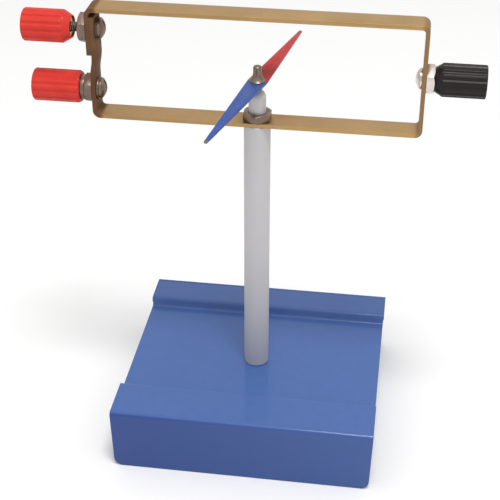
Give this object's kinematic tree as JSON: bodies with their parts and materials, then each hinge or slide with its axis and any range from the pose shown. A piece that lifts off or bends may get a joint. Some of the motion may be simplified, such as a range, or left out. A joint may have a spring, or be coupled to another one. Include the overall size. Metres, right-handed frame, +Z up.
{
  "type": "oersted apparatus",
  "caption": "Bench apparatus: a compass needle swings inside a brass strip frame with coloured screw terminals, on a pillar over a blue folded base plate.",
  "frame": {"origin": "on the bench surface, under the pillar's axis", "axes": "+Z up along the pillar, +X along the strip frame towards its single terminal, +Y away from the front flange"},
  "size_m": [0.1665, 0.1002, 0.1745],
  "materials": {
    "blue_paint": "smooth semi-gloss blue paint on sheet steel",
    "aluminium": "satin, fine turning marks",
    "brass_strip": "dull brushed strip, slightly tarnished",
    "insert_brass": "turned",
    "nickel": "satin nickel plate",
    "steel": "zinc plated",
    "fibre": "brown insulating fibre",
    "red_plastic": "moulded, semi-gloss",
    "black_plastic": "moulded, semi-gloss",
    "needle_paint": "steel needle, one half painted red and the other blue"
  },
  "bodies": {
    "stand": {"base_plate": "blue_paint", "base_washer": "steel", "base_screw": "steel", "pillar": "aluminium", "pivot_pin": "steel", "frame_strip": "brass_strip", "frame_nut": "nickel", "lap_insulator": "fibre", "insulating_bush": "fibre", "upper_screw": "nickel", "upper_nut": "nickel", "lower_screw": "nickel", "lower_head_washer": "nickel", "lower_nut": "nickel", "lower_washer": "nickel", "right_screw": "nickel", "right_nut": "nickel"},
    "needle": {"needle_blade": "needle_paint", "needle_cap": "nickel"},
    "upper_insert": {"upper_insert": "insert_brass"},
    "upper_cap": {"upper_cap": "red_plastic"},
    "lower_insert": {"lower_insert": "insert_brass"},
    "lower_cap": {"lower_cap": "red_plastic"},
    "right_insert": {"right_insert": "insert_brass"},
    "right_cap": {"right_cap": "black_plastic"}
  },
  "joints": [
    {"name": "needle_swing", "type": "hinge", "parent": "stand", "child": "needle", "pos_m": [0, 0, 0.1521], "axis": [0, 0, 1], "continuous": true},
    {"name": "upper_cap_travel", "type": "slide", "parent": "stand", "child": "upper_insert", "axis": [-1, 0, 0], "range_m": [-0.00263, 0.00158]},
    {"name": "upper_cap_turn", "type": "hinge", "parent": "upper_insert", "child": "upper_cap", "pos_m": [-0.0736, 0, 0.1656], "axis": [-1, 0, 0], "range_deg": [-1351, 811]},
    {"name": "lower_cap_travel", "type": "slide", "parent": "stand", "child": "lower_insert", "axis": [-1, 0, 0], "range_m": [0, 0.0042]},
    {"name": "lower_cap_turn", "type": "hinge", "parent": "lower_insert", "child": "lower_cap", "pos_m": [-0.0736, 0, 0.14215], "axis": [-1, 0, 0], "range_deg": [-1, 2161]},
    {"name": "right_cap_travel", "type": "slide", "parent": "stand", "child": "right_insert", "axis": [1, 0, 0], "range_m": [0, 0.0042]},
    {"name": "right_cap_turn", "type": "hinge", "parent": "right_insert", "child": "right_cap", "pos_m": [0.0723, 0, 0.15325], "axis": [1, 0, 0], "range_deg": [-1, 2161]}
  ],
  "couplings": [
    {"joint": "upper_cap_turn", "follows": "upper_cap_travel", "rad_per_m": 8976},
    {"joint": "lower_cap_turn", "follows": "lower_cap_travel", "rad_per_m": 8976},
    {"joint": "right_cap_turn", "follows": "right_cap_travel", "rad_per_m": 8976}
  ]
}
